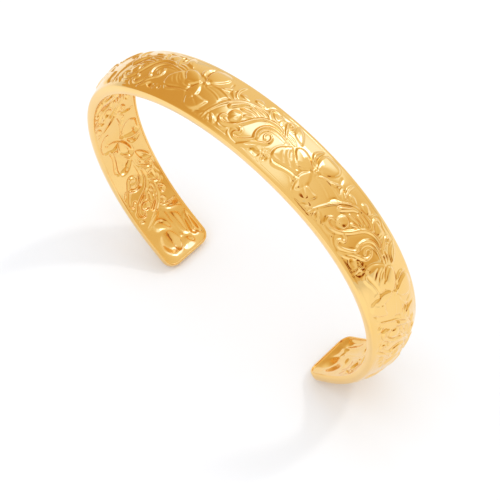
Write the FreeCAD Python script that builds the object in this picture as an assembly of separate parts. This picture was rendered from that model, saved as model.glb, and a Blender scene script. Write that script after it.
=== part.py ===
"""Open cuff bangle: a chased domed band soldered into a frame of four rim wires.

The cuff stands on its two tips with the opening down. X runs across the wrist, Y along it (the
band's width) and +Z up. Every piece follows one path in the XZ plane: a crown arc, a shoulder arc
and a leg arc on each side, and a short straight tip. A cross-section is drawn in (y, n), where n is
the height outward from that path, and turned about each arc's centre. The band is domed outside and
only slightly hollow inside. It drops into a rebate that runs all round the frame: two side rims,
which follow the path, and two tip rims, which close the ends round the corners. The band's chased
flowers are shallower than it is thick, so this model leaves them out.

All lengths are in millimetres and all angles in degrees.
"""
import FreeCAD
import Part

import math
import os

from FreeCAD import Vector

# The path, from the crown down one side. Both sides are the same.
CROWN_RADIUS = 35.5
CROWN_HALF_ANGLE = 30.0
SHOULDER_RADIUS = 24.2
SHOULDER_ANGLE = 74.0
LEG_RADIUS = 26.8
LEG_ANGLE = 38.0

# The cross-section.
HALF_WIDTH = 4.8
CREASE_HEIGHT = 0.8
CREST_HEIGHT = 1.9
INNER_CREST_HEIGHT = -0.25
INNER_EDGE_HEIGHT = -0.6
RIM_INNER_HEIGHT = -0.8
REBATE_WALL = 0.28
RIM_WIDTH = 0.45
RIM_BULGE = 0.08
RIM_TOP_ROUND = 0.2
RIM_LOWER_ROUND = 0.22
RIM_INNER_ROUND = 0.1
CORNER_RADIUS = 2.0

BAND_HALF_WIDTH = HALF_WIDTH - REBATE_WALL
# The band ends in a vault of the same arc as its dome, so the tip is as long as the cuff is half wide.
TIP_LENGTH = HALF_WIDTH

ORIGIN = Vector(0, 0, 0)
ACROSS = Vector(0, 1, 0)
MIRROR_NORMAL = Vector(1, 0, 0)


def outward(angle):
    """The path's outward direction at an angle from the crown."""
    return Vector(math.sin(math.radians(angle)), 0, math.cos(math.radians(angle)))


def path_arcs():
    """The centre, radius, first angle and sweep of the arcs of the +X side, from the crown down."""
    arcs = []
    centre = Vector(0, 0, -CROWN_RADIUS)
    angle = 0.0
    radius = CROWN_RADIUS
    sides = (
        (CROWN_RADIUS, CROWN_HALF_ANGLE),
        (SHOULDER_RADIUS, SHOULDER_ANGLE),
        (LEG_RADIUS, LEG_ANGLE),
    )
    for next_radius, sweep in sides:
        centre = centre + outward(angle) * (radius - next_radius)
        arcs.append((centre, next_radius, angle, sweep))
        radius = next_radius
        angle += sweep
    return arcs


def closed_face(points):
    """A face from a list of (y, n) corners. A third item is a point that the arc to that corner passes."""
    edges = []
    last = points[-1][:2]
    for point in points:
        end = point[:2]
        start_3d, end_3d = (Vector(0, y, n) for y, n in (last, end))
        if len(point) == 3:
            through = Vector(0, *point[2])
            edges.append(Part.Arc(start_3d, through, end_3d).toShape())
        else:
            edges.append(Part.makeLine(start_3d, end_3d))
        last = end
    return Part.Face(Part.Wire(edges))


def under_arch(edge, crest):
    """The region under an arch as wide as the band, down to the rim's inner height."""
    return closed_face(
        [
            (-BAND_HALF_WIDTH, edge),
            (BAND_HALF_WIDTH, edge, (0, crest)),
            (BAND_HALF_WIDTH, RIM_INNER_HEIGHT),
            (-BAND_HALF_WIDTH, RIM_INNER_HEIGHT),
        ]
    )


def band_section():
    """The band's section: the outer dome down to the shallow arch of its inner face."""
    return closed_face(
        [
            (-BAND_HALF_WIDTH, CREASE_HEIGHT),
            (BAND_HALF_WIDTH, CREASE_HEIGHT, (0, CREST_HEIGHT)),
            (BAND_HALF_WIDTH, INNER_EDGE_HEIGHT),
            (-BAND_HALF_WIDTH, INNER_EDGE_HEIGHT, (0, INNER_CREST_HEIGHT)),
        ]
    )


def rounded(end, start, corner):
    """An item for closed_face: a round from start to end that cuts off a square corner."""
    reach = math.sqrt(2) - 1
    middle = [(a + b) / 2 for a, b in zip(start, end)]
    through = tuple(m + (c - m) * reach for m, c in zip(middle, corner))
    return (*end, through)


def rim_section():
    """One rim wire, on the +y side. Its upper inner corner lies inside the band, which is cut out of it."""
    inner_edge = HALF_WIDTH - RIM_WIDTH
    side = HALF_WIDTH - RIM_BULGE
    inside_band = (CREASE_HEIGHT + INNER_EDGE_HEIGHT) / 2
    crease = (BAND_HALF_WIDTH, CREASE_HEIGHT)
    side_top = (side, CREASE_HEIGHT - RIM_TOP_ROUND)
    side_low = (side, RIM_INNER_HEIGHT + RIM_LOWER_ROUND)
    bulge = (HALF_WIDTH, (side_top[1] + side_low[1]) / 2)
    land_outer = (side - RIM_LOWER_ROUND, RIM_INNER_HEIGHT)
    land_inner = (inner_edge + RIM_INNER_ROUND, RIM_INNER_HEIGHT)
    inner_wall = (inner_edge, RIM_INNER_HEIGHT + RIM_INNER_ROUND)
    return closed_face(
        [
            (BAND_HALF_WIDTH, inside_band),
            crease,
            rounded(side_top, start=crease, corner=(side, CREASE_HEIGHT)),
            (*side_low, bulge),
            rounded(land_outer, start=side_low, corner=(side, RIM_INNER_HEIGHT)),
            land_inner,
            rounded(inner_wall, start=land_inner, corner=(inner_edge, RIM_INNER_HEIGHT)),
            (inner_edge, inside_band),
        ]
    )


def at_station(face, centre, radius, angle):
    """A section face, drawn in (y, n), set upright on the path at an angle from the crown."""
    placed = face.copy()
    placed.translate(Vector(0, 0, radius))
    placed.rotate(ORIGIN, ACROSS, angle)
    placed.translate(centre)
    return placed


def joined(solids):
    """Solids that share faces, as one solid."""
    return solids[0].fuse(solids[1:]).removeSplitter()


def turned_along_path(face):
    """A section turned through the three arcs of the +X side."""
    return [
        at_station(face, centre, radius, angle).revolve(centre, ACROSS, sweep)
        for centre, radius, angle, sweep in path_arcs()
    ]


def in_tip_frame(shape):
    """A shape drawn at the crown in (travel x, y, n), moved to the start of the +X side's straight tip."""
    centre, radius, angle, sweep = path_arcs()[-1]
    end_angle = angle + sweep
    placed = shape.copy()
    placed.rotate(ORIGIN, ACROSS, end_angle)
    placed.translate(centre + outward(end_angle) * radius)
    return placed


def tip_outline(half_width, length, corner_radius, low, high):
    """A block from the tip's start to its end with two rounded corners, between two heights."""
    block = Part.makeBox(length, 2 * half_width, high - low, Vector(0, -half_width, low))
    corners = [
        edge
        for edge in block.Edges
        if edge.BoundBox.XMin > length / 2 and edge.BoundBox.YLength < corner_radius / 2
    ]
    return block.makeFillet(corner_radius, corners)


def tip_vault(edge, crest):
    """The space under a pillow-shaped tip: two straight arches that cross."""
    along = under_arch(edge, crest)
    along_tip = along.extrude(Vector(TIP_LENGTH, 0, 0))
    across = along.copy()
    across.rotate(ORIGIN, Vector(0, 0, 1), 90)
    across.translate(Vector(0, -HALF_WIDTH, 0))
    across_tip = across.extrude(Vector(0, 2 * HALF_WIDTH, 0))
    return along_tip.common(across_tip)


def band_half():
    """The +X half of the band: its section turned along the arcs, and its pillow-shaped tip."""
    plan = tip_outline(
        BAND_HALF_WIDTH,
        TIP_LENGTH - REBATE_WALL,
        CORNER_RADIUS - REBATE_WALL,
        RIM_INNER_HEIGHT,
        CREST_HEIGHT,
    )
    outer_vault = tip_vault(CREASE_HEIGHT, CREST_HEIGHT)
    inner_vault = tip_vault(INNER_EDGE_HEIGHT, INNER_CREST_HEIGHT)
    tip = outer_vault.common(plan).cut(inner_vault)
    return turned_along_path(band_section()) + [in_tip_frame(tip)]


def side_rim_half():
    """The +X half of the +Y side rim, up to where the corner begins. The band isn't cut out of it yet."""
    section = rim_section()
    straight = section.extrude(Vector(TIP_LENGTH - CORNER_RADIUS, 0, 0))
    return turned_along_path(section) + [in_tip_frame(straight)]


def tip_rim():
    """The rim wire round the end of the +X tip: a corner, a straight stretch and a corner."""
    section = rim_section()
    corner_y = HALF_WIDTH - CORNER_RADIUS
    corner_x = TIP_LENGTH - CORNER_RADIUS
    far_section = section.copy()
    far_section.translate(Vector(corner_x, 0, 0))
    corner = far_section.revolve(Vector(corner_x, corner_y, 0), Vector(0, 0, 1), -90)
    other_corner = corner.mirror(ORIGIN, ACROSS)
    end_section = section.copy()
    end_section.rotate(Vector(0, corner_y, 0), Vector(0, 0, 1), -90)
    end_section.translate(Vector(corner_x, 0, 0))
    straight = end_section.extrude(Vector(0, -2 * corner_y, 0))
    return in_tip_frame(joined([corner, straight, other_corner]))


def mirrored(shape):
    """The same shape on the -X side."""
    return shape.mirror(ORIGIN, MIRROR_NORMAL)


def both_halves(halves):
    """The pieces of a +X half joined to their mirror image as one solid."""
    return joined(halves + [mirrored(piece) for piece in halves])


def build():
    """Every piece by name, standing on its tips with the origin under the middle of the cuff."""
    band = both_halves(band_half())
    far_side_rim = both_halves(side_rim_half()).cut(band)
    right_tip_rim = tip_rim().cut(band)
    pieces = {
        "relief_band": band,
        "far_side_rim": far_side_rim,
        "near_side_rim": far_side_rim.mirror(ORIGIN, ACROSS),
        "right_tip_rim": right_tip_rim,
        "left_tip_rim": mirrored(right_tip_rim),
    }
    floor = right_tip_rim.optimalBoundingBox().ZMin
    for piece in pieces.values():
        piece.translate(Vector(0, 0, -floor))
    return pieces


os.makedirs("parts", exist_ok=True)
for name, piece in build().items():
    print(name, "valid", piece.isValid(), "solids", len(piece.Solids), "mm3", round(piece.Volume, 2))
    piece.exportStep(f"parts/{name}.step")
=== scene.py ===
"""The looks of an open cuff bangle: a flower-chased gold band in a frame of plain polished rims.

The cuff follows one path in the XZ plane: a crown arc, a shoulder arc and a leg arc on each side, and
a short straight tip. A point on it is given as (s, y, n): s is the distance along the path from the
crown, towards +X, y is the distance across the band, and n is the height outward from the path.
The chased pattern is a height field over (s, y). One repeat of it is drawn on a grid from strokes,
petals, grooves and buds. The band's outer and inner faces both follow it, except inside the tips,
where a larger flower takes its place.

Lengths are in millimetres until a mesh is made, which is in metres.
"""

from math import ceil, cos, pi, radians, sin

import bmesh
import bpy
import numpy as np
from mathutils import Matrix, Vector


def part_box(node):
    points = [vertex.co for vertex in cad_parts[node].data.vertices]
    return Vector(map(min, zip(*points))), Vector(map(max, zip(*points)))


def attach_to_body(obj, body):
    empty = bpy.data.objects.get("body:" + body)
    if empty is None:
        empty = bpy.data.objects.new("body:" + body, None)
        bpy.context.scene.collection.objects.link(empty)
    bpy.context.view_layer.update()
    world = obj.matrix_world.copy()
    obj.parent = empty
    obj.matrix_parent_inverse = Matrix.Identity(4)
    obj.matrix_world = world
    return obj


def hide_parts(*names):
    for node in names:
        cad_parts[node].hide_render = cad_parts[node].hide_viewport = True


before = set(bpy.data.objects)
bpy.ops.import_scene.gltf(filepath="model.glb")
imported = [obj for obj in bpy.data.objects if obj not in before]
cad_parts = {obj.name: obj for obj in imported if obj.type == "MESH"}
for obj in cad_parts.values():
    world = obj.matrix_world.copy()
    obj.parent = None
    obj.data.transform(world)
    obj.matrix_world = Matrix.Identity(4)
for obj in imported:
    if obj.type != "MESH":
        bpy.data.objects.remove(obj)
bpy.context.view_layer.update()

MM = 0.001

# The path, as in the CAD model.
CROWN_RADIUS = 35.5
CROWN_HALF_ANGLE = 30.0
SHOULDER_RADIUS = 24.2
SHOULDER_ANGLE = 74.0
LEG_RADIUS = 26.8
LEG_ANGLE = 38.0

# The cross-section, as in the CAD model.
HALF_WIDTH = 4.8
CREASE_HEIGHT = 0.8
CREST_HEIGHT = 1.9
INNER_CREST_HEIGHT = -0.25
INNER_EDGE_HEIGHT = -0.6
RIM_INNER_HEIGHT = -0.8
REBATE_WALL = 0.28
RIM_WIDTH = 0.45
RIM_BULGE = 0.08
RIM_TOP_ROUND = 0.2
RIM_LOWER_ROUND = 0.22
RIM_INNER_ROUND = 0.1
CORNER_RADIUS = 2.0
# The rim's top rounds off from a corner that is cut off by this part of its radius.
RIM_TOP_CUT = 0.3

BAND_HALF_WIDTH = HALF_WIDTH - REBATE_WALL
TIP_LENGTH = HALF_WIDTH
# How square the pillow is that the band ends in: 2 would be round.
PILLOW_POWER = 4

# The chased pattern. From one repeat to the next, the pitch changes by about twice the drift.
PITCH = 20.7
PITCH_DRIFT = -0.23
PATTERN_START = 2.6
RELIEF_SCALE = 0.8
# Near the left tip the pattern shifts by this much, between these two distances from the tip's end.
TIP_SHIFT = 2.3
TIP_SHIFT_FROM_END = (15.0, 5.0)
# The drawing: its grid, its final blur in cells, the spacing of points on its lines, and their reach.
TILE_STEP = 0.045
TILE_HALF_HEIGHT = 4.5
TILE_BLUR = 2.4
CURVE_SPACING = 0.12
DRAWING_MARGIN = 0.6
# Laying a body over what is there: how it blends in across its edge, and how the two heights add up.
COVER_EDGE = (-0.04, 0.12)
UNDER_SHARE = 0.35
BODY_SHARE = 0.75
# The fine chased line along a body's edge: its place and width, and its depth round each kind of body.
LINE_PLACE = -0.04
LINE_WIDTH = 0.1
STROKE_LINE = 0.05
PETAL_LINE = 0.02
BUD_LINE = 0.08
# The rounded edge of a petal, and how much of its height comes from it. The rest is a broader round.
PETAL_EDGE = 0.24
PETAL_EDGE_SHARE = 0.6
PETAL_BREADTH = 2.2
PETAL_HOLLOW_START = 0.3
SLOPE_LIMITS = (0.25, 1.6)
# A stroke is lower where its half-width is less than this.
THIN_STROKE = 0.2
# A bud's ribs: their depth, as a part of its height, and how far from their centre they set in.
BUD_RIB_DEPTH = 0.3
BUD_RIB_FADE = (0.1, 0.7)
# A groove gets shallower up to these parts of its length.
GROOVE_ENDS = (0.02, 0.98)
# How the inner face follows the raised parts: a blur in cells, and how much of that blurred relief.
INNER_RELIEF = ((2.0, 1.7),)
INNER_SWELL = ((14.0, 0.5),)
TIP_RELIEF = ((3.0, 0.85), (12.0, 2.2))
# The flower inside the right tip is shallower than the one inside the left tip, by this factor.
RIGHT_TIP_DEPTH = 0.55
# The larger flower inside the tips fades out between these distances from the end.
TIP_FLOWER_END = (9.6, 8.4)
# The chased field lies a little below the plain strip along the band's edge.
FIELD_SINK = 0.04
FIELD_EDGE = (4.25, 4.05)
# The relief fades out across the band, by the distance from its middle line, and towards its ends.
OUTER_SIDE_FADE = (4.45, 4.2)
FAR_SIDE_FADE = (4.4, 3.2)
FAR_SIDE_POWER = 0.7
OUTER_END_FADE = (0.5, 1.3)
INNER_SIDE_FADE = (4.25, 3.85)
INNER_END_FADE = (0.35, 0.8)
SWELL_SIDE_FADE = (4.2, 2.8)
# How low a point lies, for the material's painted crevice shade and roughness: the surroundings' blur in
# cells, and the inner scale.
OUTER_CREVICE_BLUR = 6.0
INNER_CREVICE_BLUR = 8.0
INNER_CREVICE_SCALE = 0.08

# Mesh steps.
OUTER_STEP = 0.06
INNER_STEP = 0.075
RIM_STEP = 0.5
CORNER_STATIONS = 13
TIP_STATIONS = 12
# Edges sharper than this, in degrees, aren't smoothed.
BAND_SHARP_ANGLE = 60
RIM_SHARP_ANGLE = 42


# ---- the path


def path_arcs():
    """The centre (x, z), radius, first angle and sweep in radians of each arc of the +X side."""
    arcs = []
    centre = np.array([0.0, -CROWN_RADIUS])
    angle = 0.0
    radius = CROWN_RADIUS
    sides = (
        (CROWN_RADIUS, CROWN_HALF_ANGLE),
        (SHOULDER_RADIUS, SHOULDER_ANGLE),
        (LEG_RADIUS, LEG_ANGLE),
    )
    for next_radius, sweep in sides:
        centre = centre + np.array([sin(angle), cos(angle)]) * (radius - next_radius)
        arcs.append((centre, next_radius, angle, radians(sweep)))
        radius = next_radius
        angle += radians(sweep)
    return arcs


ARCS = path_arcs()
ARC_LENGTH = sum(radius * sweep for _, radius, _, sweep in ARCS)
HALF_LENGTH = ARC_LENGTH + TIP_LENGTH
BAND_END = HALF_LENGTH - REBATE_WALL
CROWN_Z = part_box("relief_band")[1][2] / MM - CREST_HEIGHT


def path_frame(s):
    """The path's x, z and its outward direction's x, z at each distance s from the crown."""
    side = np.where(s < 0, -1.0, 1.0)
    distance = np.abs(s)
    x = np.zeros_like(distance)
    z = np.zeros_like(distance)
    angle = np.zeros_like(distance)
    start = 0.0
    for centre, radius, first, sweep in ARCS:
        here = distance >= start
        turned = first + np.minimum(distance[here] - start, radius * sweep) / radius
        angle[here] = turned
        x[here] = centre[0] + radius * np.sin(turned)
        z[here] = centre[1] + radius * np.cos(turned)
        start += radius * sweep
    beyond = np.maximum(distance - start, 0.0)
    x += beyond * np.cos(angle)
    z -= beyond * np.sin(angle)
    return side * x, z + CROWN_Z, side * np.sin(angle), np.cos(angle)


def placed(s, y, n):
    """The points, in metres, at path coordinates s, y and n."""
    s, y, n = np.broadcast_arrays(s, y, n)
    x, z, out_x, out_z = path_frame(np.array(s, float))
    return np.stack([x + n * out_x, y, z + n * out_z], axis=-1) * MM


# ---- the chased pattern


def smoothstep(value, low, high):
    """0 at low, 1 at high, and smooth between them. low may be above high."""
    t = np.clip((value - low) / (high - low), 0.0, 1.0)
    return t * t * (3 - 2 * t)


def blurred(field, sigma):
    """A field blurred by sigma cells. It wraps round along its first axis and not along its second."""
    reach = max(1, int(ceil(3 * sigma)))
    offsets = np.arange(-reach, reach + 1)
    weights = np.exp(-0.5 * (offsets / sigma) ** 2)
    weights /= weights.sum()
    padded = np.pad(field, ((reach, reach), (0, 0)), mode="wrap")
    field = sum(w * padded[i : i + field.shape[0]] for i, w in enumerate(weights))
    padded = np.pad(field, ((0, 0), (reach, reach)), mode="edge")
    return sum(w * padded[:, i : i + field.shape[1]] for i, w in enumerate(weights))


def curve_through(points, closed=False):
    """A smooth line through points, as rows of (u, y, position), with position from 0 to 1 along them."""
    points = np.array(points, float)
    count = len(points)
    spans = count if closed else count - 1
    rows = []
    for i in range(spans):
        if closed:
            before, start, end, after = (points[(i + k) % count] for k in (-1, 0, 1, 2))
        else:
            start, end = points[i], points[i + 1]
            before = points[i - 1] if i > 0 else 2 * start - end
            after = points[i + 2] if i + 2 < count else 2 * end - start
        steps = max(2, int(np.linalg.norm(end - start) / CURVE_SPACING))
        for t in np.arange(steps) / steps:
            point = 0.5 * (
                2 * start
                + (end - before) * t
                + (2 * before - 5 * start + 4 * end - after) * t**2
                + (3 * start - before - 3 * end + after) * t**3
            )
            rows.append((*point, (i + t) / spans))
    if not closed:
        rows.append((*points[-1], 1.0))
    return np.array(rows)


def rounded_rise(depth, edge):
    """0 outside an edge and 1 well inside it, with a quarter round of the edge's width between them."""
    t = np.clip(depth / edge, 0.0, 1.0)
    return np.sqrt(np.clip(1 - (1 - t) ** 2, 0, None))


class Tile:
    """One repeat of the pattern, drawn on a grid a little longer than the repeat and then wrapped."""

    OVERLAP = 9.0

    def __init__(self):
        self.extra = int(round(self.OVERLAP / TILE_STEP))
        self.columns = int(round(PITCH / TILE_STEP))
        self.rows = int(round(2 * TILE_HALF_HEIGHT / TILE_STEP)) + 1
        self.u = (np.arange(self.columns + 2 * self.extra) - self.extra) * TILE_STEP
        self.y = np.arange(self.rows) * TILE_STEP - TILE_HALF_HEIGHT
        self.height = np.zeros((len(self.u), len(self.y)))
        self.cuts = np.zeros_like(self.height)

    def window(self, line, margin):
        """The part of the grid within margin of a line, as slices, and its u and y."""
        low_u, high_u = line[:, 0].min() - margin, line[:, 0].max() + margin
        low_y, high_y = line[:, 1].min() - margin, line[:, 1].max() + margin
        i = slice(*np.searchsorted(self.u, (low_u, high_u)))
        j = slice(*np.searchsorted(self.y, (low_y, high_y)))
        grid_u, grid_y = np.meshgrid(self.u[i], self.y[j], indexing="ij")
        return (i, j), grid_u, grid_y

    @staticmethod
    def nearest(line, grid_u, grid_y):
        """The distance to a line and the position along it, at each grid point."""
        best = np.full(grid_u.shape, np.inf)
        position = np.zeros(grid_u.shape)
        for start, end in zip(line[:-1], line[1:]):
            step = end[:2] - start[:2]
            length = max(step @ step, 1e-12)
            across_u, across_y = grid_u - start[0], grid_y - start[1]
            t = np.clip((across_u * step[0] + across_y * step[1]) / length, 0.0, 1.0)
            off_u, off_y = across_u - t * step[0], across_y - t * step[1]
            distance = off_u**2 + off_y**2
            nearer = distance < best
            best = np.where(nearer, distance, best)
            position = np.where(nearer, start[2] + t * (end[2] - start[2]), position)
        return np.sqrt(best), position

    def lay(self, where, body, inward, line_depth):
        """Lays a raised body over what is there, with a fine line round it. inward is 0 at its edge."""
        under = self.height[where]
        raised = np.maximum(body, under * UNDER_SHARE + body * BODY_SHARE)
        cover = smoothstep(inward, *COVER_EDGE)
        line = line_depth * np.exp(-(((inward - LINE_PLACE) / LINE_WIDTH) ** 2))
        self.height[where] = under + (raised - under) * cover - line

    def stroke(self, points, widths, height):
        """A raised band along a line. widths are its half-widths, evenly spaced along the line."""
        line = curve_through(points)
        where, grid_u, grid_y = self.window(line, margin=max(widths) + DRAWING_MARGIN)
        distance, position = self.nearest(line, grid_u, grid_y)
        width = np.interp(position, np.linspace(0, 1, len(widths)), widths)
        thin = np.minimum(1.0, width / THIN_STROKE) ** 0.5
        body = height * thin * np.clip(1 - (distance / width) ** 2, 0.0, None)
        self.lay(where, body, width - distance, STROKE_LINE)

    def petal(self, points, height, round_edge, tilt=(0.0, 0.0), hollow=0.0, edge=PETAL_EDGE):
        """A raised leaf inside a closed outline, with a rounded edge. tilt is its slope along u and y."""
        where, distance, inside, slope = self.outlined(points, tilt)
        broad = PETAL_BREADTH * round_edge
        rise = PETAL_EDGE_SHARE * smoothstep(distance, 0.0, edge)
        rise += (1 - PETAL_EDGE_SHARE) * rounded_rise(distance, broad)
        dip = 1 - hollow * smoothstep(distance, PETAL_HOLLOW_START * round_edge, broad)
        body = np.where(inside, height * rise * slope * dip, 0.0)
        self.lay(where, body, np.where(inside, distance, -distance), PETAL_LINE)

    def dish(self, points, depth, tilt):
        """A sunk facet inside a closed outline, deeper towards its tilt's direction."""
        where, distance, inside, slope = self.outlined(points, tilt)
        cut = np.where(inside, depth * slope * smoothstep(distance, 0.0, PETAL_EDGE), 0.0)
        self.cuts[where] = np.maximum(self.cuts[where], cut)

    def outlined(self, points, tilt):
        """The grid round a closed outline: where it is, the distance to it, what is inside, and a slope."""
        line = curve_through(points, closed=True)
        line = np.vstack([line, line[:1]])
        where, grid_u, grid_y = self.window(line, margin=DRAWING_MARGIN)
        distance, _ = self.nearest(line, grid_u, grid_y)
        inside = np.zeros(grid_u.shape, bool)
        for start, end in zip(line[:-1], line[1:]):
            if start[1] == end[1]:
                continue
            crosses = (start[1] > grid_y) != (end[1] > grid_y)
            at = start[0] + (grid_y - start[1]) * (end[0] - start[0]) / (end[1] - start[1])
            inside ^= crosses & (grid_u < at)
        centre = line[:, :2].mean(axis=0)
        slope = 1 + tilt[0] * (grid_u - centre[0]) + tilt[1] * (grid_y - centre[1])
        return where, distance, inside, np.clip(slope, *SLOPE_LIMITS)

    def groove(self, points, width, depth):
        """A chased line with tapered ends, cut into whatever it crosses."""
        line = curve_through(points)
        where, grid_u, grid_y = self.window(line, margin=DRAWING_MARGIN)
        distance, position = self.nearest(line, grid_u, grid_y)
        strength = np.sin(pi * np.clip(position, *GROOVE_ENDS)) ** 0.5
        cut = depth * strength * np.exp(-((distance / width) ** 2))
        self.cuts[where] = np.maximum(self.cuts[where], cut)

    def bud(self, centre, radius, height, ribs, crown):
        """A round bud with ribs that fan out from a point beside its middle."""
        corners = np.array(centre) + np.array([[-radius], [radius]])
        where, grid_u, grid_y = self.window(corners, margin=DRAWING_MARGIN)
        off_u, off_y = grid_u - centre[0], grid_y - centre[1]
        distance = np.hypot(off_u, off_y)
        ball = np.sqrt(np.clip(1 - (distance / radius) ** 2, 0, None))
        angle = np.arctan2(grid_y - crown[1], grid_u - crown[0])
        from_crown = np.hypot(grid_y - crown[1], grid_u - crown[0])
        rib = 0.5 + 0.5 * np.cos(ribs * angle)
        ribbed = 1 - BUD_RIB_DEPTH * (1 - rib) * smoothstep(from_crown, *BUD_RIB_FADE)
        body = height * ball * ribbed
        self.lay(where, body, radius - distance, BUD_LINE)

    def wrapped(self):
        """The finished repeat: its ends folded over each other, its lines cut, and its edges softened."""
        end = self.extra + self.columns
        height = self.height[self.extra : end].copy()
        cuts = self.cuts[self.extra : end].copy()
        for field, source in ((height, self.height), (cuts, self.cuts)):
            tail = source[end:]
            head = source[: self.extra]
            field[: len(tail)] = strongest(field[: len(tail)], tail)
            field[-len(head) :] = strongest(field[-len(head) :], head)
        return blurred(height - cuts, TILE_BLUR)


def strongest(first, second):
    """Of two fields, the value further from zero at each point."""
    return np.where(np.abs(second) > np.abs(first), second, first)


def draw_scrolls(tile):
    """The stems: the long crest, the twin C-scroll and the volute with its tail."""
    for points, widths, height in (
        ([(-4.1, -4.1), (-3.9, -3.1), (-3.4, -2.0), (-2.9, -1.0), (-2.2, 0.0), (-1.5, 0.8), (-0.6, 1.5),
          (0.6, 1.95), (1.8, 2.2), (2.7, 2.2), (3.3, 1.9), (3.8, 1.55)],
         (0.10, 0.18, 0.22, 0.24, 0.22, 0.2, 0.12), 0.28),
        ([(-0.95, -1.95), (-1.55, -2.1), (-1.75, -2.65), (-1.3, -3.05), (-0.6, -3.1), (0.1, -2.85),
          (0.8, -2.35), (1.5, -1.5), (2.0, -0.6), (2.5, 0.3), (3.1, 0.95), (4.0, 1.45), (5.0, 1.65),
          (5.8, 1.6), (6.3, 1.35)], (0.14, 0.24, 0.28, 0.32, 0.34, 0.3, 0.24, 0.12), 0.36),
        ([(8.3, 0.62), (7.2, 0.75), (6.0, 0.88), (5.0, 0.78), (4.3, 0.35), (3.87, -0.35), (3.75, -1.1),
          (3.95, -1.75), (4.25, -2.1), (3.85, -2.65), (3.2, -3.2), (2.5, -3.62), (1.8, -3.72), (1.4, -3.4),
          (1.6, -3.0), (2.05, -2.8), (1.95, -2.42), (1.5, -2.25), (1.05, -2.3)],
         (0.1, 0.22, 0.3, 0.3, 0.3, 0.24, 0.2, 0.2, 0.18, 0.12), 0.38),
        ([(7.6, 0.36), (6.5, 0.42), (5.5, 0.36), (4.75, 0.02), (4.33, -0.55), (4.28, -1.15), (4.5, -1.75)],
         (0.08, 0.14, 0.18, 0.18, 0.15, 0.08), 0.28),
        ([(5.38, -1.35), (4.95, -0.95), (4.98, -0.45), (5.45, -0.2), (5.95, -0.55), (6.08, -1.2),
          (5.75, -1.8), (5.1, -2.2), (4.3, -2.8), (3.6, -3.55), (2.8, -4.2)],
         (0.15, 0.11, 0.14, 0.19, 0.23, 0.23, 0.2, 0.12), 0.38),
        ([(5.15, -2.65), (4.5, -3.25), (3.7, -3.85), (2.9, -4.25)], (0.08, 0.2, 0.2, 0.08), 0.3),
        ([(6.9, 1.8), (8.0, 1.65), (9.1, 1.25)], (0.1, 0.18, 0.08), 0.22),
        ([(6.8, 1.25), (7.8, 1.2), (8.8, 1.0)], (0.1, 0.17, 0.1), 0.24),
    ):
        tile.stroke(points, widths, height)


def draw_fan_leaf(tile):
    """The leaf under the crest: five leaflets that fan out from the twin scroll, and the ribbed bud."""
    for points, widths, height in (
        ([(0.7, 1.7), (-0.3, 1.15), (-1.0, 0.35), (-1.65, -0.42)], (0.08, 0.24, 0.4, 0.46), 0.42),
        ([(3.35, 1.45), (2.4, 1.62), (1.4, 1.62), (0.5, 1.5)], (0.08, 0.2, 0.22, 0.1), 0.3),
        ([(2.6, 0.85), (1.6, 1.1), (0.7, 1.12)], (0.08, 0.18, 0.2), 0.32),
        ([(2.4, 0.5), (1.3, 0.45), (0.4, 0.22), (-0.25, 0.12)], (0.08, 0.2, 0.2, 0.14), 0.34),
        ([(2.4, 0.3), (1.7, 0.02), (1.1, -0.35), (0.8, -0.6)], (0.08, 0.2, 0.24, 0.16), 0.34),
    ):
        tile.stroke(points, widths, height)
    tile.bud((-0.1, -1.3), 0.98, 0.4, ribs=9, crown=(0.55, -0.75))


def draw_bell_flower(tile):
    """The bell flower: a calyx, its upper and lower petals, the throat between them and its round lip."""
    for points, height, round_edge, tilt in (
        ([(8.6, 0.75), (8.0, 0.1), (7.4, -0.8), (7.2, -1.8), (7.5, -2.4), (8.3, -2.6), (9.4, -2.35),
          (10.4, -2.1), (11.7, -1.95), (11.9, -1.2), (11.2, -0.7), (10.2, -0.3), (9.3, 0.3)],
         0.3, 0.5, (-0.1, 0.0)),
        ([(12.75, 0.05), (13.4, -0.55), (13.8, -1.5), (13.7, -2.5), (13.1, -3.3), (12.5, -2.7),
          (12.0, -1.8), (12.2, -0.8)], 0.26, 0.6, (0.16, 0.0)),
        ([(9.15, 1.1), (10.0, 1.68), (11.2, 1.45), (12.2, 0.85), (12.9, 0.2), (12.4, -0.35), (11.6, -0.95),
          (10.7, -1.0), (10.2, -0.4), (9.5, 0.25)], 0.42, 0.6, (0.05, 0.1)),
        ([(7.7, -2.55), (8.6, -2.75), (9.8, -2.45), (11.0, -2.15), (11.9, -2.1), (12.3, -2.7),
          (12.8, -3.55), (12.0, -3.1), (11.4, -2.6), (10.3, -2.75), (9.3, -3.15), (8.3, -3.3)],
         0.28, 0.3, (0.0, 0.0)),
    ):
        tile.petal(points, height, round_edge, tilt)
    tile.dish([(11.7, -2.3), (12.35, -2.7), (12.8, -3.5), (12.2, -3.25), (11.75, -2.8)],
              depth=0.22, tilt=(0.5, 0.0))
    for points in (
        [(8.55, 0.0), (8.95, -0.75), (9.6, -1.35), (10.4, -1.75)],
        [(8.95, 0.0), (9.35, -0.6), (9.9, -1.0)],
        [(8.15, -0.7), (8.6, -1.4), (9.3, -1.95)],
        [(10.5, -1.2), (11.2, -1.35), (11.75, -1.1)],
        [(10.7, -0.55), (11.4, -0.45), (12.1, -0.3)],
    ):
        tile.groove(points, width=0.1, depth=0.16)
    tile.stroke([(8.5, 0.35), (7.85, -0.35), (7.4, -1.2), (7.35, -1.95)],
                (0.08, 0.13, 0.13, 0.08), height=0.4)


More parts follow.
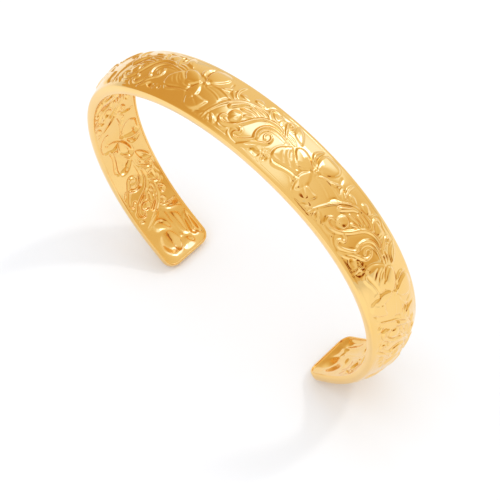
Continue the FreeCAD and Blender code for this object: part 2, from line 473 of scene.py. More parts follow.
def draw_leaves(tile):
    """The large smooth leaves round the flower, the pointed leaves beside the crest and the top sprays."""
    for points, height, round_edge, tilt in (
        ([(11.9, -2.1), (12.9, -1.85), (14.0, -1.78), (15.0, -1.9), (15.9, -1.9), (15.65, -2.9),
          (15.0, -3.75), (14.0, -4.1), (13.0, -3.85), (12.3, -3.1)], 0.34, 0.9, (0.0, 0.08)),
        ([(13.0, 0.95), (12.5, 2.0), (12.4, 3.2), (12.9, 4.0), (13.9, 4.25), (15.0, 4.1), (15.7, 3.2),
          (15.5, 2.2), (14.9, 1.4), (14.3, 0.95), (13.6, 0.7)], 0.36, 1.0, (0.0, 0.06)),
        ([(12.1, 3.9), (11.4, 3.2), (11.15, 2.3), (11.6, 1.55), (12.4, 1.2), (13.1, 0.95), (12.35, 1.8),
          (12.1, 2.7)], 0.4, 0.35, (0.0, 0.0)),
    ):
        tile.petal(points, height, round_edge, tilt)
    tile.dish([(12.05, 3.75), (11.6, 3.1), (11.6, 2.3), (12.2, 1.65), (12.9, 1.15), (12.45, 2.0),
               (12.2, 2.9)],
              depth=0.25, tilt=(0.5, 0.0))
    for points, height, round_edge, tilt, hollow in (
        ([(6.95, 4.2), (7.9, 3.9), (8.9, 3.0), (9.5, 1.85), (8.6, 1.95), (7.7, 2.25), (7.15, 2.9)],
         0.34, 0.5, (0.05, 0.1), 0.0),
        ([(12.9, 0.45), (13.7, 1.15), (13.85, 0.2)], 0.4, 0.3, (0.0, 0.0), 0.0),
        ([(-5.3, 1.05), (-4.5, 1.6), (-3.95, 2.0), (-3.35, 2.25), (-3.75, 1.55), (-4.4, 1.05)],
         0.42, 0.3, (0.0, 0.0), 0.0),
        ([(-2.35, 2.05), (-1.7, 2.5), (-1.0, 2.4), (-0.4, 1.95), (-1.2, 1.75)], 0.3, 0.35, (0.0, 0.0), 0.0),
        ([(-0.15, 2.9), (0.3, 3.45), (1.0, 3.45), (1.85, 2.7), (1.2, 2.42), (0.3, 2.42)],
         0.32, 0.5, (0.0, 0.0), 0.4),
        ([(3.0, 2.95), (3.2, 3.25), (4.2, 3.3), (5.05, 3.2), (5.0, 2.5), (4.9, 2.1), (4.3, 2.05),
          (3.6, 2.4)], 0.22, 0.3, (0.0, 0.0), 0.0),
    ):
        tile.petal(points, height, round_edge, tilt, hollow)
    for points in (
        [(-5.0, 1.25), (-4.2, 1.6), (-3.5, 2.1)],
        [(-2.2, 2.15), (-1.5, 2.2), (-0.6, 1.95)],
        [(7.3, 3.6), (7.9, 3.0), (8.9, 2.15)],
        [(13.2, -2.1), (14.0, -2.65), (15.0, -3.2)],
        [(12.0, 3.4), (12.1, 2.4), (12.6, 1.5)],
    ):
        tile.groove(points, width=0.09, depth=0.12)


def draw_tendrils(tile):
    """The thin stems: the vine that joins two repeats, the top curls and the sprigs along the lower edge."""
    for points, widths, height in (
        ([(13.8, 0.15), (14.6, 0.75), (15.6, 0.9), (16.7, 0.75), (17.7, 0.5), (18.5, 0.35)],
         (0.12, 0.16, 0.16, 0.14, 0.1), 0.26),
        ([(13.9, 0.0), (15.0, -0.1), (16.0, -0.3), (16.9, -0.65), (17.6, -1.1)],
         (0.08, 0.12, 0.12, 0.06), 0.18),
        ([(-3.4, 1.95), (-2.9, 1.4), (-2.3, 0.95), (-1.8, 0.85)], (0.14, 0.16, 0.08), 0.28),
        ([(-2.45, 4.1), (-2.68, 3.3), (-2.75, 2.5), (-2.5, 1.75), (-2.1, 1.3), (-1.5, 1.15)],
         (0.08, 0.22, 0.26, 0.18, 0.08), 0.36),
        ([(3.9, 1.75), (3.2, 2.25), (2.78, 2.8), (2.8, 3.3), (3.3, 3.52), (3.95, 3.52)],
         (0.1, 0.2, 0.22, 0.18, 0.1), 0.36),
        ([(2.05, 2.75), (2.1, 3.35), (2.45, 3.9), (3.1, 4.15), (3.8, 4.05), (4.3, 3.75), (5.0, 3.65),
          (5.6, 3.8), (6.1, 4.1)], (0.1, 0.16, 0.16, 0.14, 0.08), 0.26),
        ([(7.25, 0.95), (6.75, 1.55), (6.2, 2.3), (5.82, 2.9), (5.82, 3.3), (6.2, 3.52), (6.65, 3.3),
          (6.72, 2.85), (6.5, 2.65)], (0.1, 0.2, 0.22, 0.2, 0.16, 0.16), 0.38),
        ([(5.2, 1.95), (5.12, 2.6), (5.3, 3.2)], (0.08, 0.14, 0.08), 0.24),
        ([(7.05, 4.15), (7.2, 3.5), (7.3, 2.6)], (0.06, 0.14, 0.1), 0.28),
        ([(1.2, 3.45), (1.6, 3.1), (1.95, 2.62)], (0.06, 0.13, 0.1), 0.24),
        ([(-1.7, -3.3), (-1.2, -3.68), (-0.4, -3.72), (0.2, -3.4), (0.5, -2.95)],
         (0.06, 0.15, 0.17, 0.14, 0.06), 0.24),
        ([(0.45, -3.3), (0.75, -3.85), (1.5, -4.12), (2.4, -4.2)], (0.08, 0.15, 0.13, 0.06), 0.22),
        ([(-3.6, -2.9), (-3.42, -3.4), (-3.3, -4.05)], (0.08, 0.13, 0.08), 0.24),
    ):
        tile.stroke(points, widths, height)
    tile.petal([(-3.45, -2.9), (-2.6, -3.05), (-2.0, -3.5), (-1.85, -4.0), (-2.6, -3.85), (-3.15, -3.4)],
               height=0.26, round_edge=0.3, hollow=0.5)
    tile.stroke([(-3.65, -3.0), (-4.15, -3.3), (-4.5, -3.75), (-4.95, -3.95)],
                (0.08, 0.14, 0.08), height=0.22)


def draw_slits(tile):
    """The deep tapered slits: along the lower edge, beside the crest and the vine, and in the leaves."""
    for points in (
        [(-5.7, -4.0), (-5.3, -3.7), (-4.8, -3.5)],
        [(-3.25, -3.2), (-2.95, -3.5), (-2.6, -3.85)],
        [(-2.1, -2.5), (-1.95, -2.95), (-1.6, -3.35)],
        [(-4.4, 3.05), (-4.15, 2.6), (-3.95, 1.9)],
        [(-3.7, 1.8), (-3.45, 1.3), (-3.0, 0.85)],
        [(-2.95, 2.25), (-2.85, 2.05), (-2.85, 1.75)],
        [(-3.5, -0.95), (-3.3, -0.4), (-2.9, 0.15), (-2.5, 0.42)],
        [(12.2, 3.65), (12.0, 2.8), (12.1, 1.8), (12.45, 1.25), (12.95, 0.9)],
        [(12.2, -2.3), (12.4, -2.9), (12.7, -3.55)],
        [(13.55, 1.1), (13.6, 0.6), (13.7, 0.2)],
    ):
        tile.groove(points, width=0.13, depth=0.24)


def draw_small_flower(tile):
    """The small flower under the volute: thin ridges that fan out from a bead, with sunk facets between."""
    centre = np.array([6.55, -2.95])
    tile.dish([(4.7, -3.0), (5.5, -2.85), (6.3, -3.15), (6.2, -3.75), (5.3, -3.9), (4.6, -3.6)],
              depth=0.26, tilt=(-0.6, 0.1))
    tile.dish([(6.75, -3.1), (7.2, -2.75), (7.5, -3.2), (7.1, -3.75)], depth=0.2, tilt=(-0.7, 0.2))
    tile.dish([(5.3, -2.65), (6.2, -2.45), (6.3, -2.8), (5.6, -2.9)], depth=0.16, tilt=(-0.5, 0.0))
    for angle, reach in ((15, 0.9), (75, 0.75), (135, 0.85), (195, 1.3), (245, 1.1), (290, 1.1), (335, 1.0)):
        along = np.array([cos(radians(angle)), sin(radians(angle))])
        tile.stroke([centre + along * 0.12, centre + along * 0.5 * reach, centre + along * reach],
                    (0.07, 0.11, 0.07), height=0.2)
    tile.bud(centre, 0.17, 0.26, ribs=6, crown=centre)


def tip_flower_tile():
    """The height of the larger flower inside each tip. Here u is the distance from the band's end."""
    tile = Tile()
    for points, height, round_edge, tilt, edge in (
        ([(2.6, 2.25), (3.6, 2.5), (6.2, 2.5), (8.0, 1.5), (7.0, 1.15), (4.5, 1.15), (3.2, 1.35)],
         0.22, 0.5, (-0.12, 0.2), 0.45),
        ([(5.2, 0.35), (6.6, 0.35), (7.8, -0.7), (7.8, -2.3), (6.4, -2.5), (5.5, -1.2)],
         0.24, 0.7, (0.25, 0.1), 0.6),
        ([(1.8, 2.9), (1.8, 3.7), (2.8, 4.5), (4.4, 4.6), (5.7, 4.2), (6.1, 3.5), (5.3, 3.0), (4.0, 2.7),
          (2.6, 2.5)], 0.36, 0.8, (-0.22, -0.25), 0.5),
        ([(1.2, -1.2), (1.8, -0.2), (3.1, 0.25), (4.5, -0.2), (5.6, -0.7), (6.2, -1.6), (5.7, -2.8),
          (4.5, -3.5), (2.9, -3.4), (1.5, -2.4)], 0.36, 1.2, (-0.3, 0.16), 1.15),
        ([(0.7, 1.1), (0.9, 2.0), (1.6, 2.3), (2.5, 1.6), (2.8, 0.8), (2.1, 0.1), (1.2, -0.4), (0.7, 0.1)],
         0.2, 0.7, (0.3, 0.1), 0.7),
    ):
        tile.petal(points, height, round_edge, tilt, edge=edge)
    for points, widths, height in (
        ([(4.0, 0.9), (6.0, 0.85), (8.2, 0.8)], (0.12, 0.22, 0.18), 0.28),
        ([(9.6, 0.7), (8.6, -0.6), (7.95, -2.1), (7.6, -3.4)], (0.14, 0.26, 0.3, 0.18), 0.26),
        ([(7.8, 3.9), (8.1, 2.6), (8.7, 1.7), (9.4, 1.2)], (0.14, 0.32, 0.32, 0.14), 0.3),
    ):
        tile.stroke(points, widths, height)
    tile.petal([(8.7, 2.75), (9.9, 3.1), (11.4, 2.75), (10.9, 1.9), (9.8, 1.35), (8.9, 1.7)],
               height=0.2, round_edge=0.5, tilt=(-0.2, 0.0), edge=0.5)
    tile.bud((3.35, 0.85), 0.5, 0.24, ribs=5, crown=(3.35, 0.85))
    return tile.wrapped()


def pattern_tile():
    """The height of one repeat of the chased pattern, in millimetres above the band's plain dome."""
    tile = Tile()
    draw_leaves(tile)
    draw_bell_flower(tile)
    draw_tendrils(tile)
    draw_scrolls(tile)
    draw_fan_leaf(tile)
    draw_small_flower(tile)
    draw_slits(tile)
    return tile.wrapped()


def sampled(tile, s, y):
    """The tile's height at path coordinates s and y, between its grid points by straight lines."""
    first, last = (distance - BAND_END for distance in TIP_SHIFT_FROM_END)
    turns = (s - PATTERN_START - TIP_SHIFT * smoothstep(s, first, last)) / PITCH
    turns = turns - PITCH_DRIFT / PITCH * turns**2
    return sampled_at(tile, turns, y)


def sampled_at(tile, turns, y):
    """The tile's height at a number of repeats from its start, and at y."""
    column = turns * tile.shape[0]
    row = (y + TILE_HALF_HEIGHT) / TILE_STEP
    row = np.clip(row, 0, tile.shape[1] - 1.001)
    i, j = np.floor(column).astype(int), np.floor(row).astype(int)
    a, b = column - i, row - j
    i, i_next = i % tile.shape[0], (i + 1) % tile.shape[0]
    near = tile[i, j] * (1 - b) + tile[i, j + 1] * b
    far = tile[i_next, j] * (1 - b) + tile[i_next, j + 1] * b
    return near * (1 - a) + far * a


# ---- meshes


def arch_height(offset, edge, crest):
    """The height of an arch as wide as the band, at an offset from its middle."""
    rise = crest - edge
    radius = (BAND_HALF_WIDTH**2 + rise**2) / (2 * rise)
    return crest - radius + np.sqrt(radius**2 - np.clip(np.abs(offset), 0, BAND_HALF_WIDTH) ** 2)


def from_middle(s, y):
    """How far a point is from the band's middle. In the tips it counts both ways, as in a pillow."""
    into_tip = np.maximum(np.abs(s) - (BAND_END - BAND_HALF_WIDTH), 0.0)
    return (np.abs(y) ** PILLOW_POWER + into_tip**PILLOW_POWER) ** (1 / PILLOW_POWER)


def plain_height(s, y):
    """The outer height of the plain band."""
    return arch_height(from_middle(s, y), CREASE_HEIGHT, CREST_HEIGHT)


def plain_inner_height(s, y):
    """The inner height of the plain band."""
    return arch_height(from_middle(s, y), INNER_EDGE_HEIGHT, INNER_CREST_HEIGHT)


def grid_faces(rows, columns, offset):
    """The quads of a grid of vertices that are numbered row by row from offset."""
    index = np.arange(rows * columns).reshape(rows, columns) + offset
    corners = (index[:-1, :-1], index[1:, :-1], index[1:, 1:], index[:-1, 1:])
    return np.stack(corners, axis=-1).reshape(-1, 4)


def new_object(name, points, faces, material, sharp_angle=None):
    """A mesh object from points in metres and faces, smooth except across sharp angles."""
    mesh = bpy.data.meshes.new(name)
    mesh.from_pydata(np.asarray(points).tolist(), [], [tuple(face) for face in faces])
    mesh.validate()
    mesh.polygons.foreach_set("use_smooth", [True] * len(mesh.polygons))
    if sharp_angle:
        mesh.set_sharp_from_angle(angle=radians(sharp_angle))
    mesh.materials.append(material)
    piece = bpy.data.objects.new(name, mesh)
    bpy.context.scene.collection.objects.link(piece)
    return piece


def store(piece, name, values):
    """Stores one number per vertex, which the material reads by name."""
    attribute = piece.data.attributes.new(name, "FLOAT", "POINT")
    attribute.data.foreach_set("value", np.asarray(values, float).ravel())


def along_steps(step):
    """Values of s from tip to tip of the band, closer together round the tips' corners."""
    radius = CORNER_RADIUS - REBATE_WALL
    straight = np.linspace(0, BAND_END - radius, int((BAND_END - radius) / step) + 1)
    turn = np.radians(np.linspace(0, 90, int(1.5 * radius / step) + 2)[1:])
    half = np.concatenate([straight, BAND_END - radius + radius * np.sin(turn)])
    return np.concatenate([-half[:0:-1], half])


def band_width_at(s):
    """Half the band's width, which narrows round the tips' corners."""
    radius = CORNER_RADIUS - REBATE_WALL
    past = np.clip(np.abs(s) - (BAND_END - radius), 0, radius)
    return BAND_HALF_WIDTH - radius + np.sqrt(radius**2 - past**2)


def band_grid(step):
    """Path coordinates s and y of a grid over the whole band."""
    s = along_steps(step)
    across = np.linspace(-1, 1, 2 * int(BAND_HALF_WIDTH / step) + 1)
    return np.broadcast_to(s[:, None], (len(s), len(across))), band_width_at(s)[:, None] * across


def relieved(field, parts):
    """A field as the inner face follows it: the sum of its blurred parts."""
    return sum(scale * blurred(field, blur) for blur, scale in parts)


def outer_face(s, y, tile):
    """The outer face's height, and how low each point lies in the pattern."""
    ends = smoothstep(BAND_END - np.abs(s), *OUTER_END_FADE)
    sides = smoothstep(np.abs(y), *OUTER_SIDE_FADE) * smoothstep(y, *FAR_SIDE_FADE) ** FAR_SIDE_POWER
    sunk = FIELD_SINK * smoothstep(np.abs(y), *FIELD_EDGE) * ends
    height = plain_height(s, y) + sampled(tile, s, y) * sides * ends - sunk
    return height, sampled(blurred(tile, OUTER_CREVICE_BLUR) - tile, s, y)


def inner_face(s, y, tile):
    """The inner face's height, and how low each point lies in the pattern."""
    raised = np.maximum(tile, 0.0)
    inner_tile = relieved(raised, INNER_RELIEF)
    tip_tile = relieved(np.maximum(tip_flower_tile(), 0.0) * RELIEF_SCALE, TIP_RELIEF)
    detail = inner_tile - blurred(inner_tile, INNER_CREVICE_BLUR)
    from_end = BAND_END - np.abs(s)
    in_tip = smoothstep(from_end, *TIP_FLOWER_END)
    tip_depth = np.where(s > 0, RIGHT_TIP_DEPTH, 1.0) * in_tip
    relief = sampled(inner_tile, s, y) * (1 - in_tip) + sampled_at(tip_tile, from_end / PITCH, y) * tip_depth
    near = smoothstep(np.abs(y), *INNER_SIDE_FADE) * smoothstep(from_end, *INNER_END_FADE)
    swell = sampled(relieved(raised, INNER_SWELL), s, y)
    swell *= smoothstep(np.abs(y), *SWELL_SIDE_FADE) * (1 - in_tip)
    height = plain_inner_height(s, y) + relief * near + swell
    return height, INNER_CREVICE_SCALE * sampled(detail, s, y) * near


def make_band(material):
    """The relief band: an outer and an inner face that both follow the pattern, joined round the edge."""
    tile = pattern_tile() * RELIEF_SCALE
    points, faces, crevice, inside, edges = [], [], [], [], []
    count = 0
    for step, face, is_inner in ((OUTER_STEP, outer_face, False), (INNER_STEP, inner_face, True)):
        s, y = band_grid(step)
        height, lowness = face(s, y, tile)
        crevice.append(np.clip(lowness, -1, 1).ravel())
        inside.append(np.full(s.size, float(is_inner)))
        points.append(placed(s, y, height).reshape(-1, 3))
        quads = grid_faces(*s.shape, offset=count)
        faces.append(quads[:, ::-1] if is_inner else quads)
        index = np.arange(s.size).reshape(s.shape) + count
        edges.append(np.concatenate([index[:, 0], index[-1, 1:], index[-2::-1, -1], index[0, -2:0:-1]]))
        count += s.size
    points = np.concatenate(points)
    faces = np.concatenate(faces).tolist() + bridge(points, *edges)
    piece = new_object("chased_band", points, faces, material, sharp_angle=BAND_SHARP_ANGLE)
    # How low each point lies, which the material turns into painted shade and extra roughness.
    store(piece, "crevice", np.concatenate(crevice))
    store(piece, "inside", np.concatenate(inside))
    return piece


def bridge(points, first, second):
    """Triangles between two closed loops of points that run side by side."""
    def positions(loop):
        steps = np.linalg.norm(np.diff(points[np.append(loop, loop[0])], axis=0), axis=1)
        return np.concatenate([[0], np.cumsum(steps)]) / steps.sum()

    at_first, at_second = positions(first), positions(second)
    i = j = 0
    triangles = []
    while i < len(first) or j < len(second):
        a, b = first[i % len(first)], second[j % len(second)]
        go_first = j == len(second) or (i < len(first) and at_first[i + 1] <= at_second[j + 1])
        if go_first:
            triangles.append((a, b, first[(i + 1) % len(first)]))
            i += 1
        else:
            triangles.append((a, b, second[(j + 1) % len(second)]))
            j += 1
    return triangles


def quarter(start, end, corner, count=6):
    """Points on a quarter round from start to end that cuts off a square corner, without its start."""
    turn = np.radians(np.linspace(0, 90, count + 1)[1:])
    start, end, corner = (np.array(p, float) for p in (start, end, corner))
    to_start, to_end = start - corner, end - corner
    return [tuple(corner + to_start * (1 - sin(t)) + to_end * (1 - cos(t))) for t in turn]


def rim_section():
    """The rim's outline on the +y side from the crease round to its inner wall, as (y, n) points."""
    inner_edge = HALF_WIDTH - RIM_WIDTH
    side = HALF_WIDTH - RIM_BULGE
    crease = (BAND_HALF_WIDTH, CREASE_HEIGHT)
    side_top = (side, CREASE_HEIGHT - RIM_TOP_ROUND)
    side_low = (side, RIM_INNER_HEIGHT + RIM_LOWER_ROUND)
    land_outer = (side - RIM_LOWER_ROUND, RIM_INNER_HEIGHT)
    land_inner = (inner_edge + RIM_INNER_ROUND, RIM_INNER_HEIGHT)
    inner_wall = (inner_edge, RIM_INNER_HEIGHT + RIM_INNER_ROUND)
    # The top is rounded less than a quarter turn, so that the dome's slope runs on into it.
    cut = RIM_TOP_CUT * RIM_TOP_ROUND
    section = [crease] + quarter(crease, side_top, (side - cut, CREASE_HEIGHT - cut))
    for t in np.linspace(0, 1, 7)[1:-1]:
        n = side_top[1] + (side_low[1] - side_top[1]) * t
        section.append((side + RIM_BULGE * sin(pi * t), n))
    section.append(side_low)
    section += quarter(side_low, land_outer, (side, RIM_INNER_HEIGHT), count=8)
    section.append(land_inner)
    section += quarter(land_inner, inner_wall, (inner_edge, RIM_INNER_HEIGHT))
    return section


SECTION = rim_section()
# The rim's hidden face, against the band: its section offsets, and a height just above the inner round.
HIDDEN_OFFSETS = (HALF_WIDTH - RIM_WIDTH, BAND_HALF_WIDTH)
HIDDEN_LOWEST = RIM_INNER_HEIGHT + RIM_INNER_ROUND + 0.05


def rim_loop(s, y_of):
    """One closed loop of the rim's surface. s and y_of give a station's s and y for a section offset."""
    loop = [(s(offset), y_of(offset), n) for offset, n in SECTION]
    for offset in HIDDEN_OFFSETS:
        place = (s(offset), y_of(offset))
        against_band = float(plain_inner_height(np.array(place[0]), np.array(place[1])))
        loop.append((*place, max(against_band, HIDDEN_LOWEST)))
    return loop


def swept(name, loops, material):
    """A closed solid from loops of (s, y, n) points, with flat ends."""
    loops = np.array(loops)
    rows, columns = loops.shape[:2]
    points = placed(loops[..., 0], loops[..., 1], loops[..., 2]).reshape(-1, 3)
    index = np.arange(rows * columns).reshape(rows, columns)
    wrapped = np.concatenate([index, index[:, :1]], axis=1)
    quads = np.stack([wrapped[:-1, :-1], wrapped[:-1, 1:], wrapped[1:, 1:], wrapped[1:, :-1]], axis=-1)
    faces = quads.reshape(-1, 4).tolist() + [index[0, ::-1].tolist(), index[-1].tolist()]
    piece = new_object(name, points, faces, material, sharp_angle=RIM_SHARP_ANGLE)
    work = bmesh.new()
    work.from_mesh(piece.data)
    bmesh.ops.recalc_face_normals(work, faces=work.faces)
    work.to_mesh(piece.data)
    work.free()
    return piece


def make_side_rim(name, side, material):
    """The rim wire along one edge, from corner to corner. side is +1 for +Y and -1 for -Y."""
    end = HALF_LENGTH - CORNER_RADIUS
    loops = []
    for station in np.linspace(-end, end, int(2 * end / RIM_STEP) + 1):
        loops.append(rim_loop(lambda offset: station, lambda offset: side * offset))
    return swept(name, loops, material)


def make_tip_rim(name, side, material):
    """The rim wire round one tip: a corner, a straight stretch and a corner. side is +1 for +X."""
    corner_y = HALF_WIDTH - CORNER_RADIUS
    corner_s = HALF_LENGTH - CORNER_RADIUS
    stations = [(turn, corner_y) for turn in np.linspace(0, 90, CORNER_STATIONS)]
    stations += [(90, y) for y in np.linspace(corner_y, -corner_y, TIP_STATIONS)[1:-1]]
    stations += [(turn, -corner_y) for turn in np.linspace(90, 180, CORNER_STATIONS)]
    loops = []
    for turn, y in stations:
        reach, across = sin(radians(turn)), cos(radians(turn))
        loops.append(
            rim_loop(
                lambda offset: side * (corner_s + (offset - corner_y) * reach),
                lambda offset: y + (offset - corner_y) * across,
            )
        )
    return swept(name, loops, material)


# ---- materials


class Nodes:
    """A short way to build a node tree."""

    def __init__(self, tree):
        self.tree = tree
        tree.nodes.clear()

    def add(self, kind, settings=None, **inputs):
        """A new shader node. Its inputs are given by name, or by number as i0, i1 and so on."""
        node = self.tree.nodes.new("ShaderNode" + kind)
        for key, value in (settings or {}).items():
            setattr(node, key, value)
        for key, value in inputs.items():
            socket = node.inputs[int(key[1:])] if key[1:].isdigit() else node.inputs[key.replace("_", " ")]
            if isinstance(value, bpy.types.NodeSocket):
                self.tree.links.new(value, socket)
            else:
                socket.default_value = value
        return node

    def math(self, operation, first, second):
        """One step of arithmetic."""
        return self.add("Math", {"operation": operation}, i0=first, i1=second).outputs[0]

    def mix(self, factor, first, second):
        """The first colour where the factor is 0, and the second where it is 1."""
        return self.add("Mix", {"data_type": "RGBA"}, i0=factor, i6=first, i7=second).outputs[2]

    def ramp(self, value, low, high, low_out=0.0, high_out=1.0):
        """Turns low into low_out and high into high_out, smoothly between them."""
        node = self.add("MapRange", {"interpolation_type": "SMOOTHSTEP"}, Value=value,
                        From_Min=low, From_Max=high, To_Min=low_out, To_Max=high_out)
        return node.outputs[0]


def new_material(name):
    """An empty material and its nodes."""
    material = bpy.data.materials.new(name)
    material.use_nodes = True
    return material, Nodes(material.node_tree)


GOLD = (0.91, 0.59, 0.195, 1.0)
# The colour of the painted shade in the crevices of the chased lines.
GOLD_CREVICE_SHADE = (0.70, 0.35, 0.04, 1.0)
GOLD_PALE = (0.92, 0.61, 0.22, 1.0)
# The polish varies between two roughnesses. The crevices and the inner face are a little rougher.
POLISH = (0.05, 0.10)
CREVICE_ROUGHNESS = 0.08
INSIDE_ROUGHNESS = 0.05
# How low a point lies where the painted crevice shade and the added roughness set in, and where they are
# complete.
CREVICE_SPAN = (0.03, 0.12)


def gold_material(name, struck):
    """Polished gold plate. On a struck surface the chased lines get painted shade, darker and more orange,
    and are less polished.
    """
    material, nodes = new_material(name)
    place = nodes.add("TexCoord").outputs["Object"]
    cloud = nodes.add("TexNoise", Vector=place, Scale=160.0, Detail=3.0).outputs["Fac"]
    grain = nodes.add("TexNoise", Vector=place, Scale=2600.0, Detail=4.0).outputs["Fac"]
    waves = nodes.add("TexNoise", Vector=place, Scale=420.0, Detail=2.0).outputs["Fac"]
    colour = nodes.mix(nodes.ramp(cloud, 0.35, 0.65), GOLD, GOLD_PALE)
    roughness = nodes.ramp(grain, 0.3, 0.75, *POLISH)
    if struck:
        crevice = nodes.add("Attribute", {"attribute_name": "crevice"}).outputs["Fac"]
        low = nodes.ramp(crevice, *CREVICE_SPAN)
        # Painted shade: the low parts of the pattern are darkened towards the deep gold colour.
        colour = nodes.mix(low, colour, GOLD_CREVICE_SHADE)
        inside = nodes.add("Attribute", {"attribute_name": "inside"}).outputs["Fac"]
        roughness = nodes.math("ADD", roughness, nodes.math("MULTIPLY", low, CREVICE_ROUGHNESS))
        roughness = nodes.math("ADD", roughness, nodes.math("MULTIPLY", inside, INSIDE_ROUGHNESS))
    bump = nodes.add("Bump", Height=waves, Distance=0.00002, Strength=0.25)
    shader = nodes.add("BsdfPrincipled", Base_Color=colour, Metallic=1.0,
                       Roughness=roughness, Normal=bump.outputs[0], Coat_Weight=0.25, Coat_Roughness=0.05)
    nodes.add("OutputMaterial", i0=shader.outputs[0])
    return material


PAPER = (0.90, 0.90, 0.90, 1)
PAPER_WARM = (0.92, 0.92, 0.915, 1)
PAPER_PAINTED_LIGHT = (0.97, 0.97, 0.97, 1)
PAPER_PAINTED_SHADE = (0.72, 0.72, 0.72, 1)
# Where painted light makes the paper brighter in front, along Y, and painted shade makes it dimmer far from
# the middle, in metres.
FRONT_SPAN = (-0.020, -0.032)
FAR_SPAN = (0.09, 0.5)


def floor_material():
    """White paper, with a trace of tone in it. Painted light makes it a little brighter in front, and
    painted shade dims it far away.
    """
    material, nodes = new_material("white_paper")
    place = nodes.add("TexCoord").outputs["Object"]
    tone = nodes.add("TexNoise", Vector=place, Scale=12.0, Detail=3.0).outputs["Fac"]
    near = nodes.mix(tone, PAPER, PAPER_WARM)
    away = nodes.add("VectorMath", {"operation": "LENGTH"}, i0=place).outputs["Value"]
    front = nodes.add("SeparateXYZ", i0=place).outputs["Y"]
    # Painted light: the paper is brighter in front, where the crown's shadow would fall.
    lit = nodes.mix(nodes.ramp(front, *FRONT_SPAN), near, PAPER_PAINTED_LIGHT)
    # Painted shade: the paper is dimmer far from the middle.
    colour = nodes.mix(nodes.ramp(away, *FAR_SPAN), lit, PAPER_PAINTED_SHADE)
    shader = nodes.add("BsdfPrincipled", Base_Color=colour, Roughness=0.9, Specular_IOR_Level=0.0)
    nodes.add("OutputMaterial", i0=shader.outputs[0])
    return material


# ---- stage


def direction(azimuth, elevation):
    """A unit vector. Azimuth 0 points along +X and 90 along +Y, in degrees."""
    a, e = radians(azimuth), radians(elevation)
    return Vector((cos(a) * cos(e), sin(a) * cos(e), sin(e)))


# What the metal reflects: azimuth and elevation, inner and outer half-angle, change of brightness.
TENT_LEVEL = 0.92
TENT_PATCHES = (
    (125, 68, 5, 24, 0.6),
    (88, 30, 5, 20, 0.3),
    (-80, 74, 4, 16, 0.25),
    (-172, 22, 15, 55, -0.31),
    (20, 10, 25, 60, -0.12),
    (5, 2, 8, 32, -0.12),
    (-7, 12, 3, 10, -0.6),
    (-40, 54, 2.5, 6.5, -0.75),
)
# Each channel is the brightness times the capped brightness to this power: dim is warm, and bright is cool.
TENT_WARMTH = (-0.3, 0.5, 2.4)
TENT_WARMTH_CAP = 1.35
FLOOR_AMBIENT = 1.10
FLOOR_AMBIENT_COLOUR = (0.985, 1.0, 1.03, 1.0)


def make_world():
    """A light tent: bright overhead and behind, warmer on the left, dark at the camera and low on the right.

    Only the metal reflects it. The floor is lit by a plain, nearly white world instead.
    """
    world = bpy.data.worlds.new("light_tent")
    bpy.context.scene.world = world
    world.use_nodes = True
    nodes = Nodes(world.node_tree)
    ray = nodes.add("TexCoord").outputs["Generated"]
    level = None
    for azimuth, elevation, inner, outer, change in TENT_PATCHES:
        cosine = nodes.add("VectorMath", {"operation": "DOT_PRODUCT"}, i0=ray,
                           i1=direction(azimuth, elevation)).outputs["Value"]
        lobe = nodes.ramp(cosine, cos(radians(outer)), cos(radians(inner)), 0.0, change)
        level = nodes.math("ADD", lobe, TENT_LEVEL if level is None else level)
    capped = nodes.math("MINIMUM", level, TENT_WARMTH_CAP)
    red, green, blue = (nodes.math("POWER", capped, power) for power in TENT_WARMTH)
    tint = nodes.add("CombineColor", i0=red, i1=green, i2=blue).outputs[0]
    tent = nodes.add("Background", Color=tint, Strength=level)
    plain = nodes.add("Background", Color=FLOOR_AMBIENT_COLOUR, Strength=FLOOR_AMBIENT)
    diffuse = nodes.add("LightPath").outputs["Is Diffuse Ray"]
    both = nodes.add("MixShader", Fac=diffuse, i1=tent.outputs[0], i2=plain.outputs[0])
    nodes.add("OutputWorld", i0=both.outputs[0])


def add_light(name, kind, toward, distance, **settings):
    """A light in a direction, turned towards the middle of the floor."""
    light = bpy.data.lights.new(name, kind)
    for key, value in settings.items():
        setattr(light, key, value)
    lamp = bpy.data.objects.new(name, light)
    lamp.location = direction(*toward) * distance
    lamp.rotation_euler = direction(*toward).to_track_quat("Z", "Y").to_euler()
    bpy.context.scene.collection.objects.link(lamp)
    return lamp


def make_lights():
    """A distant key light for the floor's faint shadows, and a small bright window for the metal."""
    key = add_light("key", "SUN", (68, 49), 1.0, angle=radians(6), energy=0.4)
    key.visible_glossy = False
    window = add_light("window", "AREA", (90, 50), 1.5, size=0.5, energy=3.8, color=(0.36, 0.47, 1.0))
    window.visible_diffuse = False


def make_floor():
    """A wide white floor under the tips."""
    reach = 3.0
    corners = [(-reach, -reach, 0), (reach, -reach, 0), (reach, reach, 0), (-reach, reach, 0)]
    floor = new_object("floor", corners, [(0, 1, 2, 3)], floor_material())


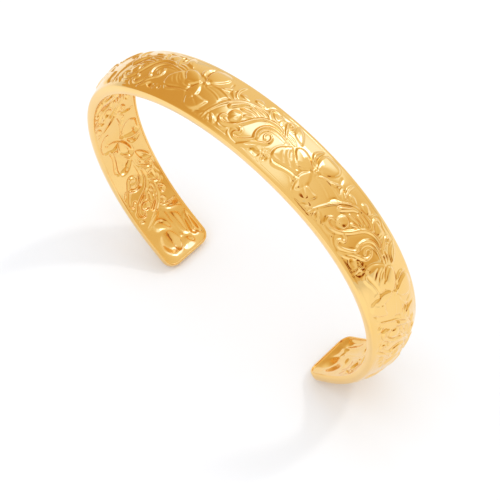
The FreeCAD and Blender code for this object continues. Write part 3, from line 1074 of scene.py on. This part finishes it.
# The view: where the camera stands, in degrees and millimetres, about the middle of the path's height.
VIEW_AZIMUTH = 50.48
VIEW_ELEVATION = 53.55
VIEW_ROLL = -8.09
VIEW_DISTANCE = 249.3
VIEW_ASIDE = 0.85
VIEW_BELOW = 5.49
VIEW_WIDTH = 76.97
SENSOR = 36.0


def make_camera():
    """A camera in front, to the right and above, turned a little about its own axis."""
    azimuth, elevation, roll = (radians(v) for v in (VIEW_AZIMUTH, VIEW_ELEVATION, VIEW_ROLL))
    back = Vector((sin(azimuth) * cos(elevation), -cos(azimuth) * cos(elevation),
                   sin(elevation)))
    level_right = Vector((cos(azimuth), sin(azimuth), 0))
    level_up = back.cross(level_right)
    right = level_right * cos(roll) + level_up * sin(roll)
    up = level_up * cos(roll) - level_right * sin(roll)
    _, tip_z, _, _ = path_frame(np.array([HALF_LENGTH]))
    middle = Vector((0, 0, (CROWN_Z + float(tip_z[0])) / 2))
    data = bpy.data.cameras.new("camera")
    data.sensor_width = SENSOR
    data.lens = SENSOR * VIEW_DISTANCE / VIEW_WIDTH
    data.clip_start = 0.01
    camera = bpy.data.objects.new("camera", data)
    camera.matrix_world = Matrix.Translation(
        (middle + back * VIEW_DISTANCE + right * VIEW_ASIDE - up * VIEW_BELOW) * MM
    ) @ Matrix((right, up, back)).transposed().to_4x4()
    bpy.context.scene.collection.objects.link(camera)
    bpy.context.scene.camera = camera


def attach(piece, node):
    """Makes a piece stand for its CAD node."""
    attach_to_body(piece, "root")
    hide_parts(node)


bpy.context.scene.view_settings.view_transform = "Standard"
make_camera()
make_world()
make_lights()
make_floor()

struck_gold = gold_material("struck_gold", struck=True)
wire_gold = gold_material("wire_gold", struck=False)
attach(make_band(struck_gold), "relief_band")
attach(make_side_rim("near_rim_wire", -1, wire_gold), "near_side_rim")
attach(make_side_rim("far_rim_wire", 1, wire_gold), "far_side_rim")
attach(make_tip_rim("left_tip_wire", -1, wire_gold), "left_tip_rim")
attach(make_tip_rim("right_tip_wire", 1, wire_gold), "right_tip_rim")
